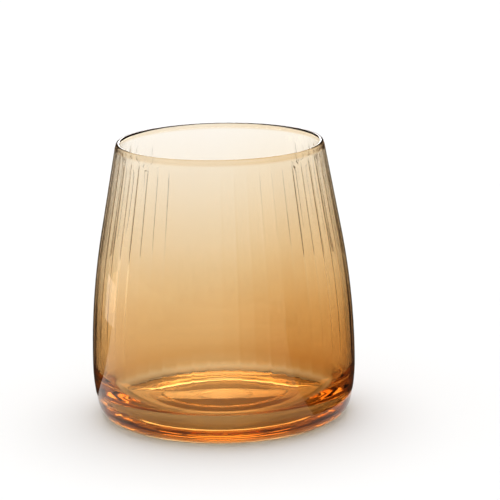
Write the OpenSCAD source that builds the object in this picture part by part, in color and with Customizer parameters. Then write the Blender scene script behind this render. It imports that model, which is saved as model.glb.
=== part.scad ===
// Blown glass vase with optic ribs. Millimetres, +Z up.
// The origin is the centre of the foot, on the surface that the vase stands on.

/* [Overall size] */
// Height from the surface that the vase stands on to the top of the lip
height = 100; // [94:1:108]
// Outside diameter at the lip
rim_d = 74; // [70:1:78]
// Outside diameter at the widest place, low on the body
body_d = 95; // [92:1:98]
// Height of the widest place
widest_z = 19; // [18:0.5:19.5]

/* [Outside curves] */
// Radius of the long curve that turns the straight taper into the body
shoulder_r = 265; // [240:5:300]
// Radius of the curve that draws the body in below the widest place
tuck_r = 60; // [50:5:80]
// Radius of the corner between the body and the foot
corner_r = 7; // [5:0.5:9]

/* [Glass] */
// Thickness of the lip, melted round in the flame
lip_t = 1.5; // [1.4:0.1:1.8]
// Height of the lip bead, down to the seam with the side wall
lip_h = 1.6; // [1.2:0.1:2]
// Thickness of the side wall just below the lip
wall_top_t = 1.35; // [1.2:0.05:1.4]
// Thickness of the side wall where it meets the heel
wall_foot_t = 2.5; // [2:0.1:3]
// Radius of the hollow curve between the side wall and the floor
bowl_r = 16.5; // [16:0.5:18]
// Height of the lowest part of the floor inside
floor_z = 4; // [3.8:0.1:5]

/* [Floor and foot] */
// Radius of the raised boss in the middle of the floor
boss_r = 23.5; // [20:0.5:26]
// Height of the boss at its edge, above the floor
boss_edge_h = 0.6; // [0.4:0.1:0.8]
// Height of the boss in its middle, above the floor
boss_h = 1.5; // [1:0.1:2]
// Radius of the hollow pushed up into the underside
punt_r = 32; // [31:0.5:35]
// Depth of that hollow in the middle
punt_h = 1.8; // [1.2:0.1:2.4]
// Radius of the ground spot in the middle of the underside
pontil_r = 9; // [7:0.5:12]
// Depth that the ground spot is cut past the hollow
pontil_h = 0.25; // [0.15:0.05:0.4]

/* [Optic ribs] */
// Number of ribs round the inside of the wall
rib_count = 52; // [40:2:60]
// Height of a rib above the valleys beside it
rib_h = 0.3; // [0.1:0.05:0.4]
// Plain band between the lip and the full ribs
rib_run_in = 10; // [4:1:12]
// Height over which the ribs die out above the heel
rib_run_out = 16; // [10:1:35]
// Share of their height that the ribs keep on the lower half of the body
rib_low = 0.45; // [0.2:0.05:1]
// Height over which they grow to their full height, from the middle of the vase up
rib_grow = 35; // [20:5:40]
// Rings of points up the ribbed face
rib_rings = 11; // [8:1:14]

/* [Hidden] */

$fn = 360;
// Circles whose arcs are long enough to need finer steps
fine = 1440;
// Length by which a cutter passes through a face, and joined sections overlap
past = 1;

rim_r = rim_d / 2;
body_r = body_d / 2;
lip_z = height - lip_h;
lip_bead_r = lip_t / 2;

// The taper is the tangent from the lip to the long curve
shoulder_x = body_r - shoulder_r;
to_lip = [rim_r - shoulder_x, height - widest_z];
taper = atan2(to_lip[1], to_lip[0]) - acos(shoulder_r / norm(to_lip));
taper_z = widest_z + shoulder_r * sin(taper);

// The corner is tangent to the foot plane and to the curve above it
tuck_x = body_r - tuck_r;
corner_x = tuck_x + sqrt(pow(tuck_r - corner_r, 2) - pow(widest_z - corner_r, 2));
tuck_angle = atan2(widest_z - corner_r, corner_x - tuck_x);
corner_z = corner_r * (1 - sin(tuck_angle));

// The bowl's curve leaves the wall upright and reaches the floor level
bowl_z = floor_z + bowl_r;
bowl_x = outside(bowl_z) - wall_foot_t - bowl_r;

// Radius of the sphere whose cap is the punt
punt_ball_r = (pow(punt_r, 2) + pow(punt_h, 2)) / (2 * punt_h);

// The boss has a quarter-round edge and a top that rises to its middle as a parabola
boss_rise = boss_h - boss_edge_h;
boss_flat_r = boss_r - boss_edge_h;
boss_edge = [
    for (a = [0 : 15 : 75])
        [boss_flat_r + boss_edge_h * cos(a), floor_z + boss_edge_h * sin(a)]
];
boss_top = [
    for (share = [1 : -0.1 : 0])
        [boss_flat_r * share, floor_z + boss_edge_h + boss_rise * (1 - pow(share, 2))]
];

glass = [0.85, 0.56, 0.27, 0.55];
deep_glass = [0.72, 0.40, 0.14, 0.6];
pale_glass = [0.95, 0.86, 0.70, 0.5];

// Outside radius of the wall at height z, from the corner up
function outside(z) =
    z > taper_z ? rim_r + (height - z) * tan(taper) :
    z > widest_z ? shoulder_x + sqrt(pow(shoulder_r, 2) - pow(z - widest_z, 2)) :
    tuck_x + sqrt(pow(tuck_r, 2) - pow(z - widest_z, 2));

// Share of the way up the side wall, from 0 at the heel to 1 at the lip
function up_wall(z) = (z - bowl_z) / (lip_z - bowl_z);

// Inside radius of the wall at height z, in the valleys between the ribs
function inside(z) = outside(z) - wall_foot_t - (wall_top_t - wall_foot_t) * up_wall(z);

// Smooth step from 0 to 1 as x goes from 0 to 1
function ease(x) = let (t = min(max(x, 0), 1)) t * t * (3 - 2 * t);

// Share of its full height that a rib has at height z, apart from its ends
function rib_share(z) = rib_low + (1 - rib_low) * ease((z - height / 2) / rib_grow);

// Height of a rib at height z, dying out at both ends of the wall
function rib(z) =
    rib_h * rib_share(z) * ease((lip_z - z) / rib_run_in) * ease((z - bowl_z) / rib_run_out);

// The part of a half section between two heights
module band(z0, z1) {
    intersection() {
        children();
        translate([0, z0])
            square([body_r + past, z1 - z0]);
    }
}

// Half section of the solid outside shape, corner and body
module outside_section() {
    band(bowl_z - past, taper_z)
        translate([shoulder_x, widest_z])
            circle(shoulder_r, $fn = fine);
    polygon([
        [0, taper_z],
        [outside(taper_z), taper_z],
        [rim_r, height],
        [0, height]
    ]);
}

// Half section of the thick glass between the bowl and the foot, filled to the axis
module heel_section() {
    band(widest_z, bowl_z)
        translate([shoulder_x, widest_z])
            circle(shoulder_r, $fn = fine);
    band(corner_z, widest_z + past)
        translate([tuck_x, widest_z])
            circle(tuck_r, $fn = fine);
    band(0, corner_z + past)
        translate([corner_x, corner_r])
            circle(corner_r);
    square([corner_x, corner_z + past]);
}

// The space inside the wall, with the ribs standing into it
module ribbed_hollow() {
    sides = 2 * rib_count;
    z0 = bowl_z - past;
    step = (lip_z + past - z0) / rib_rings;
    points = [
        for (i = [0 : rib_rings], k = [0 : sides - 1])
            let (
                z = z0 + i * step,
                r = inside(z) - (k % 2) * rib(z),
                a = 360 * k / sides
            )
            [r * cos(a), r * sin(a), z]
    ];
    side_faces = [
        for (i = [0 : rib_rings - 1], k = [0 : sides - 1], half = [0, 1])
            let (
                a = i * sides + k,
                b = i * sides + (k + 1) % sides
            )
            half == 0 ? [a, a + sides, b + sides] : [a, b + sides, b]
    ];
    bottom = [for (k = [0 : sides - 1]) k];
    top = [for (k = [sides - 1 : -1 : 0]) rib_rings * sides + k];
    polyhedron(points, concat(side_faces, [bottom, top]));
}

// The hollow pushed up into the underside
module punt() {
    translate([0, 0, punt_h - punt_ball_r])
        sphere(punt_ball_r, $fn = fine);
}

// The fire-polished bead that closes the top of the wall
module lip() {
    bead_z = height - lip_bead_r;
    seam_out = outside(lip_z);
    seam_in = inside(lip_z);
    color(pale_glass)
        rotate_extrude() {
            translate([rim_r - lip_bead_r, bead_z])
                circle(lip_bead_r);
            polygon([
                [seam_in, lip_z],
                [seam_out, lip_z],
                [rim_r, bead_z],
                [rim_r - lip_t, bead_z]
            ]);
        }
}

// The blown wall from the top of the bowl to the lip, ribbed on its inside
module side_wall() {
    color(glass)
        difference() {
            rotate_extrude()
                band(bowl_z, lip_z)
                    outside_section();
            ribbed_hollow();
        }
}

// The thick ring of glass round the bottom, rounded outside and hollow inside
module heel_ring() {
    color(deep_glass)
        difference() {
            rotate_extrude()
                difference() {
                    heel_section();
                    square([bowl_x, bowl_z]);
                    translate([bowl_x, bowl_z])
                        circle(bowl_r);
                }
            punt();
        }
}

// The flat disc of glass that closes the bottom, dished underneath
module base_disc() {
    color(deep_glass)
        difference() {
            cylinder(h = floor_z, r = bowl_x);
            punt();
            cylinder(h = punt_h + pontil_h, r = pontil_r);
        }
}

// The low round boss left in the middle of the floor
module floor_boss() {
    color(glass)
        rotate_extrude()
            polygon(concat([[0, floor_z]], boss_edge, boss_top));
}

lip();
side_wall();
heel_ring();
base_disc();
floor_boss();
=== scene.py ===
"""Amber blown-glass vase with optic ribs, on a plain white floor. Metres, +Z up, in the CAD model's frame."""

import math

import bpy
from mathutils import Matrix, Vector


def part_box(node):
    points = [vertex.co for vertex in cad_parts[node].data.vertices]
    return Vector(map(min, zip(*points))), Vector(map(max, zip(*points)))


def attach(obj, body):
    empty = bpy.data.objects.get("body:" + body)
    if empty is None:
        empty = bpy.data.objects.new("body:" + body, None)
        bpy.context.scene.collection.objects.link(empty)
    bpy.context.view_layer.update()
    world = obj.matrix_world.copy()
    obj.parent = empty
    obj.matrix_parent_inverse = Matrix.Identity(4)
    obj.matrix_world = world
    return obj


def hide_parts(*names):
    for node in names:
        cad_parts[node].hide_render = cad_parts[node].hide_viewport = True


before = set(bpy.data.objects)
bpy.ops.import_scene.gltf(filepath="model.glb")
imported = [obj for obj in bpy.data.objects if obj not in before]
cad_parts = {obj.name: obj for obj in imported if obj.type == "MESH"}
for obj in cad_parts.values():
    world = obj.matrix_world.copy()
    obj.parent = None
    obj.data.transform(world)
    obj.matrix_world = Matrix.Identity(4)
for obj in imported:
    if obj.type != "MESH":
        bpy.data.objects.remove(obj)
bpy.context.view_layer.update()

MM = 0.001

# ---------------------------------------------------------------- sizes, from the CAD frame
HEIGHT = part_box("lip")[1].z
LIP_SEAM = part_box("lip")[0].z
BOWL_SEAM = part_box("heel_ring")[1].z
BODY_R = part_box("heel_ring")[1].x
FLOOR_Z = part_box("base_disc")[1].z
DISC_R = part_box("base_disc")[1].x
BOSS_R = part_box("floor_boss")[1].x
BOSS_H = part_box("floor_boss")[1].z - FLOOR_Z

# ---------------------------------------------------------------- shape of the glass
RIM_R = 37.0 * MM  # outside radius at the very top
WIDEST_Z = 19.0 * MM
SHOULDER_R = 265.0 * MM  # long curve of the body
TUCK_R = 60.0 * MM  # curve below the widest place
CORNER_R = 7.0 * MM  # corner into the foot
LIP_T = 1.5 * MM
WALL_TOP_T = 1.35 * MM
WALL_FOOT_T = 2.5 * MM
BOSS_EDGE_H = 0.6 * MM  # height of the boss at its edge
BOSS_EDGE = 1.2 * MM  # width of its soft edge
BOSS_EDGE_IN = 0.9 * MM  # the part of that width that is inside the boss's radius
PUNT_R = 32.0 * MM  # hollow pushed up into the underside
PUNT_H = 1.8 * MM
PONTIL_R = 9.0 * MM  # ground spot in the middle of the hollow
PONTIL_H = 0.25 * MM
PONTIL_EDGE = 1.2 * MM  # width of the slope round the spot
FLAT_MARGIN = 2.0 * MM  # the foot ring has points this far in from both its edges, which keep it flat

RIBS = 52
RIB_H = 0.3 * MM
RIB_RUN_IN = 6.0 * MM  # below the lip seam
RIB_RUN_OUT = 16.0 * MM  # above the bowl
RIB_LOW = 0.4  # share of the full height that the ribs have low on the body
RIB_HIGH = 0.75  # and near the lip
RIB_GROW_Z = 50.0 * MM  # height where they start to grow from the one to the other
RIB_GROW = 35.0 * MM  # height over which they grow
# Places of the mesh's points across one rib, as shares of its width. The crease between two ribs is at 0.
RIB_STEPS = (0.0, 0.05, 0.11, 0.22, 0.5, 0.78, 0.89, 0.95)
STEPS_PER_RIB = len(RIB_STEPS)
SEGMENTS = RIBS * STEPS_PER_RIB
CREASE_WIDTH = 0.09  # as a share of a rib's width
# The creases differ in depth as a wave: its middle and its swing, as shares of the rib's height, and its turn
# in radians from one crease to the next
CREASE_DEPTH = 0.8
CREASE_SWING = 0.2
CREASE_TURN = 2.4

SEAM = 0.003 * MM  # half the gap between two zones of glass, far too thin to see
ON_AXIS = 1e-9  # a radius below this counts as none

shoulder_x = BODY_R - SHOULDER_R
to_lip = Vector((RIM_R - shoulder_x, HEIGHT - WIDEST_Z))
taper = math.atan2(to_lip.y, to_lip.x) - math.acos(SHOULDER_R / to_lip.length)
taper_z = WIDEST_Z + SHOULDER_R * math.sin(taper)
tuck_x = BODY_R - TUCK_R
corner_x = tuck_x + math.sqrt((TUCK_R - CORNER_R) ** 2 - (WIDEST_Z - CORNER_R) ** 2)
tuck_angle = math.atan2(WIDEST_Z - CORNER_R, corner_x - tuck_x)
bowl_r = BOWL_SEAM - FLOOR_Z
boss_top_r = BOSS_R - BOSS_EDGE
punt_ball_r = (PUNT_R**2 + PUNT_H**2) / (2 * PUNT_H)


def outside(z):
    """Outside radius of the wall at height z, above the heel's corner."""
    if z > taper_z:
        return RIM_R + (HEIGHT - z) * math.tan(taper)
    if z > WIDEST_Z:
        return shoulder_x + math.sqrt(SHOULDER_R**2 - (z - WIDEST_Z) ** 2)
    return tuck_x + math.sqrt(TUCK_R**2 - (z - WIDEST_Z) ** 2)


def inside(z):
    """Inside radius of the wall at height z, in the valleys between the ribs."""
    up = (z - BOWL_SEAM) / (LIP_SEAM - BOWL_SEAM)
    return outside(z) - WALL_FOOT_T - (WALL_TOP_T - WALL_FOOT_T) * up


def ease(x):
    """Smooth step from 0 to 1 as x goes from 0 to 1."""
    t = min(max(x, 0.0), 1.0)
    return t * t * (3 - 2 * t)


def spread(a, b, steps):
    """Evenly spaced values from a to b, one more than the steps between them."""
    return [a + (b - a) * i / steps for i in range(steps + 1)]


def arc(x, z, r, a0, a1, steps):
    """Points on a circle round (x, z), at angles in radians from the +X side."""
    return [(x + r * math.cos(a), z + r * math.sin(a)) for a in spread(a0, a1, steps)]


def rib_height(z):
    """How far the ribs stand in at height z, dying out below the lip and above the bowl."""
    ends = ease((LIP_SEAM - z) / RIB_RUN_IN) * ease((z - BOWL_SEAM) / RIB_RUN_OUT)
    return RIB_H * ends * (RIB_LOW + (RIB_HIGH - RIB_LOW) * ease((z - RIB_GROW_Z) / RIB_GROW))


def underside(r):
    """Height of the dished underside, with the ground spot in its middle."""
    dish = PUNT_H - punt_ball_r + math.sqrt(punt_ball_r**2 - r * r)
    spot = PUNT_H + PONTIL_H
    return dish + (spot - dish) * (1 - ease((r - PONTIL_R) / PONTIL_EDGE))


def floor_height(r):
    """Height of the floor inside, with a soft-edged boss that rises to its middle."""
    edge = 1 - ease((r - BOSS_R + BOSS_EDGE_IN) / BOSS_EDGE)
    crown = 1 - min(r / BOSS_R, 1) ** 2
    return FLOOR_Z + edge * (BOSS_EDGE_H + (BOSS_H - BOSS_EDGE_H) * crown)


# The outline runs from the middle of the underside outwards, up the outside, over the lip, and down the
# inside to the middle of the floor. Each run is a part of it that one zone shows, and starts where the last
# one ends.
bead_r = LIP_T / 2
bead_z = HEIGHT - bead_r
corner = arc(corner_x, CORNER_R, CORNER_R, -math.pi / 2, -tuck_angle, steps=14)
runs = {
    "disc_under": [(r, underside(r)) for r in spread(0, DISC_R, steps=40)],
    "heel_under": [
        (DISC_R, underside(DISC_R)),
        (PUNT_R, 0.0),
        (PUNT_R + FLAT_MARGIN, 0.0),
        (corner_x - FLAT_MARGIN, 0.0),
        *corner,
        *[(outside(z), z) for z in spread(corner[-1][1], WIDEST_Z, steps=12)[1:]],
        (outside(BOWL_SEAM), BOWL_SEAM),
    ],
    "wall_out": [(outside(z), z) for z in spread(BOWL_SEAM, LIP_SEAM, steps=36)],
    "lip": [
        (outside(LIP_SEAM), LIP_SEAM),
        *arc(RIM_R - bead_r, bead_z, bead_r, 0, math.pi, steps=14),
        (inside(LIP_SEAM), LIP_SEAM),
    ],
    "wall_in": [(inside(z), z) for z in spread(LIP_SEAM, BOWL_SEAM, steps=48)],
    "bowl": arc(DISC_R, BOWL_SEAM, bowl_r, 0, -math.pi / 2, steps=30),
    "trough": [(r, floor_height(r)) for r in spread(DISC_R, BOSS_R, steps=16)],
    "boss": [
        *[(r, floor_height(r)) for r in spread(BOSS_R, boss_top_r, steps=8)],
        *[(r, floor_height(r)) for r in spread(boss_top_r, 0, steps=30)[1:]],
    ],
}
runs["bowl"][0] = runs["wall_in"][-1]
runs["bowl"][-1] = runs["trough"][0]

# Each zone is a closed solid: its shown runs in order, with a seam face wherever one run doesn't end at the
# next. A bare point is the middle of a seam face that reaches the axis.
ZONES = {
    "lip": ["lip"],
    "side_wall": ["wall_out", "wall_in"],
    "heel_ring": ["heel_under", "bowl"],
    "base_disc": ["disc_under", "trough", (0.0, FLOOR_Z)],
    "floor_boss": ["boss", (0.0, FLOOR_Z + 2 * SEAM)],
}
# The runs that carry the amber coat, each with its thickness there as a share of the thickness on the wall
COATED = {"disc_under": 15.0, "heel_under": 1.0, "wall_out": 1.0, "lip": 1.0}
FOOT_COAT = 5.0  # likewise, on the flat ring that the vase stands on


def add_object(name, data):
    """A new object in the scene."""
    obj = bpy.data.objects.new(name, data)
    bpy.context.scene.collection.objects.link(obj)
    return obj


def ring_angle(k):
    """Angle of point k of a ring. Ring point 0 is at the front, -Y."""
    return 2 * math.pi * (k // STEPS_PER_RIB + RIB_STEPS[k % STEPS_PER_RIB]) / RIBS


def ring_point(r, z, rib, k):
    """Point k of the ring round the axis at an outline point, where the ribs stand in by rib."""
    share = RIB_STEPS[k % STEPS_PER_RIB]
    from_crease = min(share, 1 - share) / CREASE_WIDTH
    crease = (k + STEPS_PER_RIB // 2) // STEPS_PER_RIB
    depth = CREASE_DEPTH + CREASE_SWING * math.sin(CREASE_TURN * crease)
    ribbed_r = r - rib * (1 - depth * math.exp(-(from_crease**2)))
    a = ring_angle(k)
    return Vector((ribbed_r * math.sin(a), -ribbed_r * math.cos(a), z))


def shown_grid():
    """Each run's points as (radius, height, rib, normals), with normals as if the glass had no seams.

    A ring without ribs has one normal, and each normal is turned to the front.
    """
    chain = []
    for name, points in runs.items():
        for i, (r, z) in enumerate(points):
            if i == 0 and chain:
                chain[-1][2].append((name, 0))
                continue
            rib = rib_height(z) if name == "wall_in" else 0.0
            chain.append(((r, z), rib, [(name, i)]))
    grid = {}
    for i, ((r, z), rib, owners) in enumerate(chain):
        before, after = chain[max(i - 1, 0)], chain[min(i + 1, len(chain) - 1)]
        normals = []
        for k in range(SEGMENTS if rib else 1):
            along = ring_point(*after[0], after[1], k) - ring_point(*before[0], before[1], k)
            around = ring_point(r, z, rib, k + 1) - ring_point(r, z, rib, k - 1)
            if r < ON_AXIS:
                along, around = Vector((0, -1, 0)), Vector((1, 0, 0))
                if owners[0][0] == "boss":
                    along = -along
            normal = around.cross(along).normalized()
            normals.append(Matrix.Rotation(-ring_angle(k), 3, "Z") @ normal)
        for owner in owners:
            grid[owner] = (r, z, rib, normals)
    return grid


GRID = shown_grid()


def zone_rings(parts):
    """The rings of one closed zone in order, as (radius, height, rib, normals or None, run or None)."""
    rings = []
    for part in parts:
        if isinstance(part, tuple):
            rings.append((*part, 0.0, None, None))
            continue
        points = runs[part]
        for i in range(len(points)):
            r, z, rib, normals = GRID[part, i]
            if i in (0, len(points) - 1) and r > ON_AXIS:
                near = points[1] if i == 0 else points[-2]
                step = Vector(near) - Vector((r, z))
                step *= SEAM / step.length
                r, z = r + step.x, z + step.y
            rings.append((r, z, rib, normals, part))
    return rings


def face_corners(start0, start1, r0, r1, k):
    """Corners of face k between two rings, as (which ring, vertex, point of the ring)."""
    n = (k + 1) % SEGMENTS
    if r0 < ON_AXIS:
        return [(0, start0, k), (1, start1 + n, n), (1, start1 + k, k)]
    if r1 < ON_AXIS:
        return [(0, start0 + k, k), (0, start0 + n, n), (1, start1, k)]
    return [(0, start0 + k, k), (0, start0 + n, n), (1, start1 + n, n), (1, start1 + k, k)]


def face_coat(run, r0, r1):
    """Thickness of the coat on a shown face between two rings, as a share of its thickness on the wall."""
    if run == "lip" and r0 + r1 < 2 * RIM_R - LIP_T:
        return 0.0
    if run == "heel_under" and max(r0, r1) < corner_x - FLAT_MARGIN / 2:
        return FOOT_COAT
    return COATED.get(run, 0.0)


def turned_normal(normals, k):
    """Normal at point k of a ring."""
    normal = normals[k % len(normals)]
    a = ring_angle(k)
    c, s = math.cos(a), math.sin(a)
    return (normal.x * c - normal.y * s, normal.x * s + normal.y * c, normal.z)


def build_zone(name, parts, material):
    """One closed zone of glass as a mesh. Each face holds its coat, and whether it is shown or fused."""
    rings = zone_rings(parts)
    verts, starts = [], []
    for r, z, rib, _, _ in rings:
        starts.append(len(verts))
        if r < ON_AXIS:
            verts.append((0.0, 0.0, z))
        else:
            verts += [ring_point(r, z, rib, k) for k in range(SEGMENTS)]
    faces, coat, surface, normals = [], [], [], []
    for i, (r0, _, _, normals0, run0) in enumerate(rings):
        j = (i + 1) % len(rings)
        r1, _, _, normals1, run1 = rings[j]
        if r0 < ON_AXIS and r1 < ON_AXIS:
            continue
        shown = run0 is not None and run0 == run1 and j > 0
        for k in range(SEGMENTS):
            corners = face_corners(starts[i], starts[j], r0, r1, k)
            faces.append([vertex for _, vertex, _ in corners])
            coat.append(face_coat(run0, r0, r1) if shown else 0.0)
            surface.append(1.0 if shown else 0.0)
            for ring, _, at in corners:
                normals.append(turned_normal((normals0, normals1)[ring], at) if shown else None)
    mesh = bpy.data.meshes.new(name + "_glass")
    mesh.from_pydata(verts, [], faces)
    mesh.materials.append(material)
    for title, values in (("coat", coat), ("surface", surface)):
        mesh.attributes.new(title, "FLOAT", "FACE").data.foreach_set("value", values)
    mesh.shade_smooth()
    for polygon in mesh.polygons:
        for loop in polygon.loop_indices:
            if normals[loop] is None:
                normals[loop] = tuple(polygon.normal)
    mesh.normals_split_custom_set(normals)
    obj = add_object(name + "_glass", mesh)
    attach(obj, "root")
    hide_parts(name)


# ---------------------------------------------------------------- materials
# Absorption of the amber in red, green and blue, as shares of the blue
AMBER = (0.18, 0.475, 1.0)
# Optical depth in blue of one metre of the glass itself
BODY_DEPTH = 35.0
# Share of the volume's density that it absorbs in blue. The density makes up for it, so it changes no look.
STRONGEST = 0.7
IOR = 1.5
# Optical depth in blue of the coat at one crossing of the wall, by the share of the height from foot to lip
COAT_DEPTH = (
    (0.0, 0.1), (0.02, 0.1), (0.04, 0.85), (0.085, 1.25), (0.15, 1.1), (0.22, 1.1), (0.3, 1.0), (0.42, 0.75),
    (0.53, 0.54), (0.67, 0.39), (0.77, 0.3), (0.88, 0.21), (0.976, 0.15), (0.984, 0.5), (1.0, 0.4),
)
DEEPEST_COAT = max(depth for _, depth in COAT_DEPTH)
# Painted shade: the coat's colour gets deeper by this share towards the right, +X, the less lit side, between
# two places across the body
PAINTED_SIDE_SHADE = 0.38
PAINTED_SIDE_SHADE_X = (-0.1 * BODY_R, 0.6 * BODY_R)
# Painted shade at the edges, in place of dark surroundings: how much it darkens the coated glass seen edge
# on, by the share of the height, and to what shade
PAINTED_EDGE_STRENGTH = (
    (0.0, 0.0), (0.03, 0.3), (0.09, 0.95), (0.3, 0.95), (0.5, 0.7), (0.75, 0.5), (0.98, 0.4), (0.988, 0.95),
    (1.0, 0.95),
)
PAINTED_EDGE_SHADE = (0.04, 0.02, 0.016)
# The painted edge shade starts and is complete at these slants of the surface, from 0 face on to 1 edge on
PAINTED_EDGE_SLANT = (0.5, 0.85)
# Colour of what the glass reflects face on
SHEEN = (0.95, 0.68, 0.38)


def empty_tree(owner):
    """The nodes and the links of a material or world, emptied."""
    owner.use_nodes = True
    owner.node_tree.nodes.clear()
    return owner.node_tree.nodes, owner.node_tree.links


def new_material(name):
    """A material with no nodes yet, and its nodes and links."""
    mat = bpy.data.materials.new(name)
    return mat, *empty_tree(mat)


def attribute(nodes, name):
    """The output that gives a face value made by build_zone."""
    node = nodes.new("ShaderNodeAttribute")
    node.attribute_name = name
    return node.outputs["Fac"]


def product(nodes, links, a, b, clamped=False):
    """The output that multiplies two others."""
    node = nodes.new("ShaderNodeMath")
    node.operation = "MULTIPLY"
    node.use_clamp = clamped
    links.new(a, node.inputs[0])
    links.new(b, node.inputs[1])
    return node.outputs[0]


def map_range(nodes, links, value, source, target=(0.0, 1.0), steps="SMOOTHSTEP"):
    """The output that takes a value from one range to another."""
    node = nodes.new("ShaderNodeMapRange")
    node.interpolation_type = steps
    for socket, limit in zip(("From Min", "From Max", "To Min", "To Max"), (*source, *target)):
        node.inputs[socket].default_value = limit
    links.new(value, node.inputs["Value"])
    return node.outputs["Result"]


def grey_ramp(nodes, links, value, stops):
    """The output that looks a value up in stops, each a place and a grey between 0 and 1."""
    node = nodes.new("ShaderNodeValToRGB")
    elements = node.color_ramp.elements
    while len(elements) < len(stops):
        elements.new(0.5)
    for element, (at, grey) in zip(elements, stops):
        element.position = at
        element.color = (grey, grey, grey, 1)
    links.new(value, node.inputs["Fac"])
    return node.outputs["Color"]


def coat_colour(nodes, links, x, height):
    """The output that gives the coat's colour, with painted shade deepening it towards the right. One
    crossing lets through the square root of it.
    """
    stops = [(at, depth / DEEPEST_COAT) for at, depth in COAT_DEPTH]
    by_height = grey_ramp(nodes, links, height, stops)
    # Painted shade: the colour deepens towards the right side
    painted_side_shade = map_range(nodes, links, x, PAINTED_SIDE_SHADE_X, (DEEPEST_COAT, DEEPEST_COAT * (1 + PAINTED_SIDE_SHADE)))
    even = product(nodes, links, by_height, painted_side_shade)
    depth = product(nodes, links, even, attribute(nodes, "coat"))
    passed = nodes.new("ShaderNodeCombineColor")
    for channel, share_of_blue in zip(("Red", "Green", "Blue"), AMBER):
        power = nodes.new("ShaderNodeMath")
        power.operation = "POWER"
        power.inputs[0].default_value = math.exp(-2 * share_of_blue)
        links.new(depth, power.inputs[1])
        links.new(power.outputs[0], passed.inputs[channel])
    return passed.outputs[0]


def painted_edge_share(nodes, links, height):
    """The output that says how much painted shade darkens the coated glass where it is seen edge on."""
    slant = nodes.new("ShaderNodeLayerWeight")
    slant.inputs["Blend"].default_value = 0.5
    edge = map_range(nodes, links, slant.outputs["Facing"], PAINTED_EDGE_SLANT)
    strength = grey_ramp(nodes, links, height, PAINTED_EDGE_STRENGTH)
    darken = product(nodes, links, edge, strength)
    return product(nodes, links, darken, attribute(nodes, "coat"), clamped=True)


def coated_glass(name):
    """Glass with a little amber in its depth and an amber coat outside, deep low down and thin at the lip. It
    has painted shade where it is seen edge on, and towards the right.
    """
    mat, nodes, links = new_material(name)
    out = nodes.new("ShaderNodeOutputMaterial")
    glass = nodes.new("ShaderNodeBsdfPrincipled")
    glass.inputs["Transmission Weight"].default_value = 1.0
    glass.inputs["Roughness"].default_value = 0.0
    glass.inputs["IOR"].default_value = IOR
    glass.inputs["Specular Tint"].default_value = (*SHEEN, 1)
    links.new(glass.outputs[0], out.inputs["Surface"])
    # Light passes unbent where two zones are fused
    links.new(attribute(nodes, "surface"), glass.inputs["Alpha"])

    body = nodes.new("ShaderNodeVolumeAbsorption")
    body.inputs["Color"].default_value = (*[1 - STRONGEST * k for k in AMBER], 1)
    body.inputs["Density"].default_value = BODY_DEPTH / STRONGEST
    links.new(body.outputs[0], out.inputs["Volume"])

    place = nodes.new("ShaderNodeTexCoord")
    split = nodes.new("ShaderNodeSeparateXYZ")
    links.new(place.outputs["Object"], split.inputs[0])
    height = map_range(nodes, links, split.outputs["Z"], (0.0, HEIGHT), steps="LINEAR")
    # The coat's colour, mixed towards a painted dark shade where the glass is seen edge on
    coat_and_painted_edge = nodes.new("ShaderNodeMix")
    coat_and_painted_edge.data_type = "RGBA"
    coat_and_painted_edge.inputs["B"].default_value = (*PAINTED_EDGE_SHADE, 1)
    links.new(painted_edge_share(nodes, links, height), coat_and_painted_edge.inputs["Factor"])
    links.new(coat_colour(nodes, links, split.outputs["X"], height), coat_and_painted_edge.inputs["A"])
    links.new(coat_and_painted_edge.outputs["Result"], glass.inputs["Base Color"])
    return mat


# ---------------------------------------------------------------- the vase
SLOTS = {
    "lip": "pale_glass",
    "side_wall": "amber_glass",
    "heel_ring": "deep_glass",
    "base_disc": "deep_glass",
    "floor_boss": "amber_glass",
}
glasses = {slot: coated_glass(slot) for slot in sorted(set(SLOTS.values()))}
for zone, parts in ZONES.items():
    build_zone(zone, parts, glasses[SLOTS[zone]])

# ---------------------------------------------------------------- floor
FLOOR_REACH = 3.0  # from its middle to each side
FLOOR_GAP = 0.00002  # how far it lies below the foot
FLOOR_WHITE = 0.9


def white_floor():
    """A sheet of matt white paper under the vase."""
    mat, nodes, links = new_material("white_floor")
    out = nodes.new("ShaderNodeOutputMaterial")
    paper = nodes.new("ShaderNodeBsdfPrincipled")
    paper.inputs["Base Color"].default_value = (FLOOR_WHITE, FLOOR_WHITE, FLOOR_WHITE, 1)
    paper.inputs["Roughness"].default_value = 1.0
    paper.inputs["Specular IOR Level"].default_value = 0.0
    links.new(paper.outputs[0], out.inputs["Surface"])
    mesh = bpy.data.meshes.new("floor")
    corners = [(FLOOR_REACH * x, FLOOR_REACH * y, 0) for x, y in ((-1, -1), (1, -1), (1, 1), (-1, 1))]
    mesh.from_pydata(corners, [], [(0, 1, 2, 3)])
    mesh.materials.append(mat)
    floor = add_object("floor", mesh)
    floor.location.z = -FLOOR_GAP


white_floor()

# ---------------------------------------------------------------- lights
SUN_WIDTH = math.radians(50)  # as wide as a large softbox, and as even over the floor as a sun
SUN_STRENGTH = 1.78
LAMP_TARGET = Vector((0, 0, 0.04))


def aim(obj, target):
    """Turns a lamp to face a point."""
    obj.rotation_mode = "QUATERNION"
    obj.rotation_quaternion = (target - obj.location).to_track_quat("-Z", "Y")


def area_light(name, at, size, power):
    """A rectangular lamp that the camera doesn't see, facing the vase. Its size is its width and height."""
    data = bpy.data.lights.new(name, "AREA")
    data.shape = "RECTANGLE"
    data.size, data.size_y = size
    data.energy = power
    obj = add_object(name, data)
    obj.location = at
    obj.visible_camera = False
    aim(obj, LAMP_TARGET)
    return obj


sun = bpy.data.lights.new("softbox", "SUN")
sun.angle = SUN_WIDTH
sun.energy = SUN_STRENGTH
softbox = add_object("softbox", sun)
softbox.location = (0, 0.2, 1.2)
softbox.visible_glossy = False
aim(softbox, Vector((0, 0, 0)))

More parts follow.
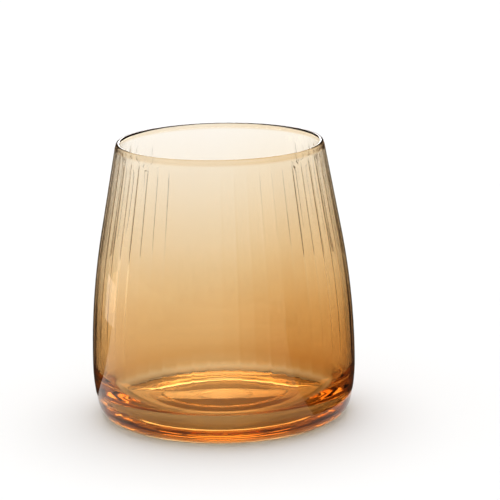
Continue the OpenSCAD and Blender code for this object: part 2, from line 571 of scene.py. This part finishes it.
# The window makes the highlight low on the left. The backdrop lights the glass from behind, not the floor.
area_light("window", at=(-0.205, 0.07, 0.02), size=(0.06, 0.03), power=0.009)
lit_backdrop = area_light("lit_backdrop", at=(0, 1.2, 0.31), size=(0.9, 0.5), power=5.6)
lit_backdrop.visible_diffuse = False

# ---------------------------------------------------------------- dark cards
CARD_SHADE = (0.05, 0.03, 0.02)
CARD_Z = 0.0005  # just above the table
CARD_STEPS = 24  # along a curved card
# The cards beside the vase lie on the table between two radii, and stand up at the outer one
SIDE_CARD_R = (0.055, 0.3)
SIDE_CARD_TOP = 0.35
HUNG_CARD_FOOT = 0.14
# The cards behind it lie between two depths, each with its limits in width, and stand up at the far one
BACK_CARD_NEAR = (0.25, (0.09, 0.17))
BACK_CARD_FAR = (0.45, (0.15, 0.28))
BACK_CARD_TOP = 0.12


def card(name, rows, through=False):
    """A dark card through rows of points, seen only as reflected in the glass, or also through it."""
    n = len(rows[0])
    points = [point for row in rows for point in row]
    starts = [row * n + i for row in range(len(rows) - 1) for i in range(n - 1)]
    faces = [(i, i + 1, n + i + 1, n + i) for i in starts]
    mesh = bpy.data.meshes.new(name)
    mesh.from_pydata(points, [], faces)
    mat, nodes, links = new_material(name)
    out = nodes.new("ShaderNodeOutputMaterial")
    paper = nodes.new("ShaderNodeBsdfDiffuse")
    paper.inputs["Color"].default_value = (*CARD_SHADE, 1)
    links.new(paper.outputs[0], out.inputs["Surface"])
    mesh.materials.append(mat)
    obj = add_object(name, mesh)
    obj.visible_camera = False
    obj.visible_diffuse = False
    obj.visible_shadow = False
    obj.visible_transmission = through


def round_row(radius, z, azimuths):
    """Points at one distance from the axis, between two azimuths in degrees from +Y towards +X."""
    turns = [math.radians(a) for a in spread(*azimuths, CARD_STEPS)]
    return [(radius * math.sin(a), radius * math.cos(a), z) for a in turns]


inner_r, outer_r = SIDE_CARD_R
side_profile = ((inner_r, CARD_Z), (outer_r, CARD_Z), (outer_r, SIDE_CARD_TOP))
for name, azimuths in (("card_right", (8, 128)), ("card_left", (-75, -8))):
    card(name, [round_row(radius, z, azimuths) for radius, z in side_profile])
card("hung_card_left", [round_row(outer_r, z, (-112, -45)) for z in (HUNG_CARD_FOOT, SIDE_CARD_TOP)])
back_profile = ((*BACK_CARD_NEAR, CARD_Z), (*BACK_CARD_FAR, CARD_Z), (*BACK_CARD_FAR, BACK_CARD_TOP))
for name, side in (("card_back_left", -1), ("card_back_right", 1)):
    card(name, [[(side * x, y, z) for x in limits] for y, limits, z in back_profile], through=True)

# ---------------------------------------------------------------- world
# Strength of the room by the sine of the height above the horizon: even low down, dimmer overhead
ROOM_BANDS = ((0.0, 0.7), (0.6, 0.7), (0.8, 0.5))


def studio_world():
    """White to the camera, and the room to everything else."""
    world = bpy.data.worlds.new("studio")
    bpy.context.scene.world = world
    nodes, links = empty_tree(world)
    out = nodes.new("ShaderNodeOutputWorld")
    direction = nodes.new("ShaderNodeTexCoord")
    up = nodes.new("ShaderNodeSeparateXYZ")
    links.new(direction.outputs["Generated"], up.inputs[0])
    room = nodes.new("ShaderNodeBackground")
    links.new(grey_ramp(nodes, links, up.outputs["Z"], ROOM_BANDS), room.inputs["Color"])
    backdrop = nodes.new("ShaderNodeBackground")
    backdrop.inputs["Color"].default_value = (1, 1, 1, 1)
    path = nodes.new("ShaderNodeLightPath")
    seen = nodes.new("ShaderNodeMixShader")
    links.new(path.outputs["Is Camera Ray"], seen.inputs[0])
    links.new(room.outputs[0], seen.inputs[1])
    links.new(backdrop.outputs[0], seen.inputs[2])
    links.new(seen.outputs[0], out.inputs["Surface"])


studio_world()

# ---------------------------------------------------------------- camera
ELEVATION = math.radians(13.81)
DISTANCE = 0.856
FOCAL = 4.75  # focal length over picture width
SENSOR_MM = 36  # picture width in the camera, in millimetres
ROLL = math.radians(-1.145)
AIM_Z = 0.05
SHIFT = (0.0554, 0.0544)

cam_data = bpy.data.cameras.new("camera")
cam = add_object("camera", cam_data)
cam_data.sensor_width = SENSOR_MM
cam_data.lens = FOCAL * SENSOR_MM
cam.location = (0, -DISTANCE * math.cos(ELEVATION), AIM_Z + DISTANCE * math.sin(ELEVATION))
look = (Vector((0, 0, AIM_Z)) - cam.location).to_track_quat("-Z", "Y").to_matrix().to_4x4()
cam.matrix_world = Matrix.Translation(cam.location) @ look @ Matrix.Rotation(ROLL, 4, "Z")
cam_data.shift_x, cam_data.shift_y = SHIFT

bpy.context.scene.camera = cam

scene = bpy.context.scene
scene.view_settings.view_transform = "Standard"
# Light has to pass many faces of glass
scene.cycles.max_bounces = 32
scene.cycles.transmission_bounces = 32
scene.cycles.glossy_bounces = 16
scene.cycles.transparent_max_bounces = 64
